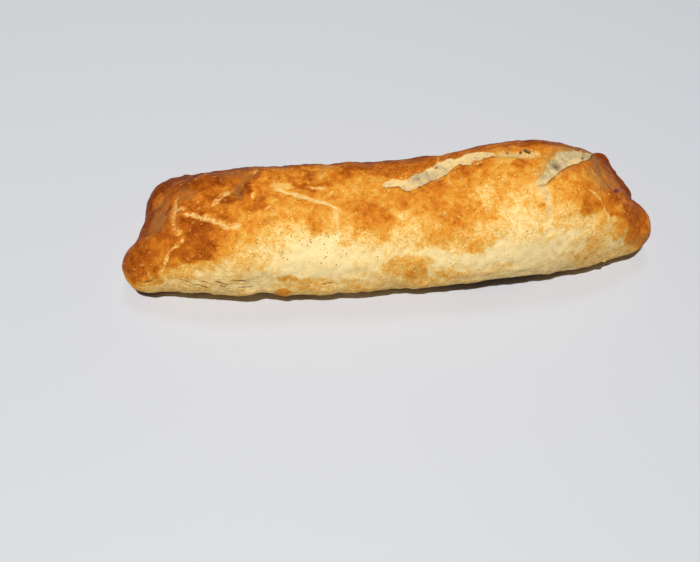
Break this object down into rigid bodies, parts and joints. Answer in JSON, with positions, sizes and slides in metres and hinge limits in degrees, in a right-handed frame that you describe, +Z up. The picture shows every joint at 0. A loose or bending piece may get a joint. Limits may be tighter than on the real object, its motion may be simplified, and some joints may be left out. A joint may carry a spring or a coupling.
{
  "type": "bedfordshire clanger",
  "caption": "Long closed roll of baked suet-crust pastry with puffed corners, a torn and seamed golden-brown top with a steam hole, and a flat base",
  "frame": {"origin": "centre of the bounding box in X and Y, at the height of the flat base", "axes": "X along the roll, the hump and the steam hole towards +X; Y across it, the paler side at -Y; Z up from the base"},
  "size_m": [0.1998, 0.0574, 0.0378],
  "materials": {
    "crust": "baked suet crust, golden brown on top and cream at the sides, with a dull egg-glaze sheen"
  },
  "bodies": {
    "root": {"pastry_roll": "crust"}
  },
  "joints": []
}
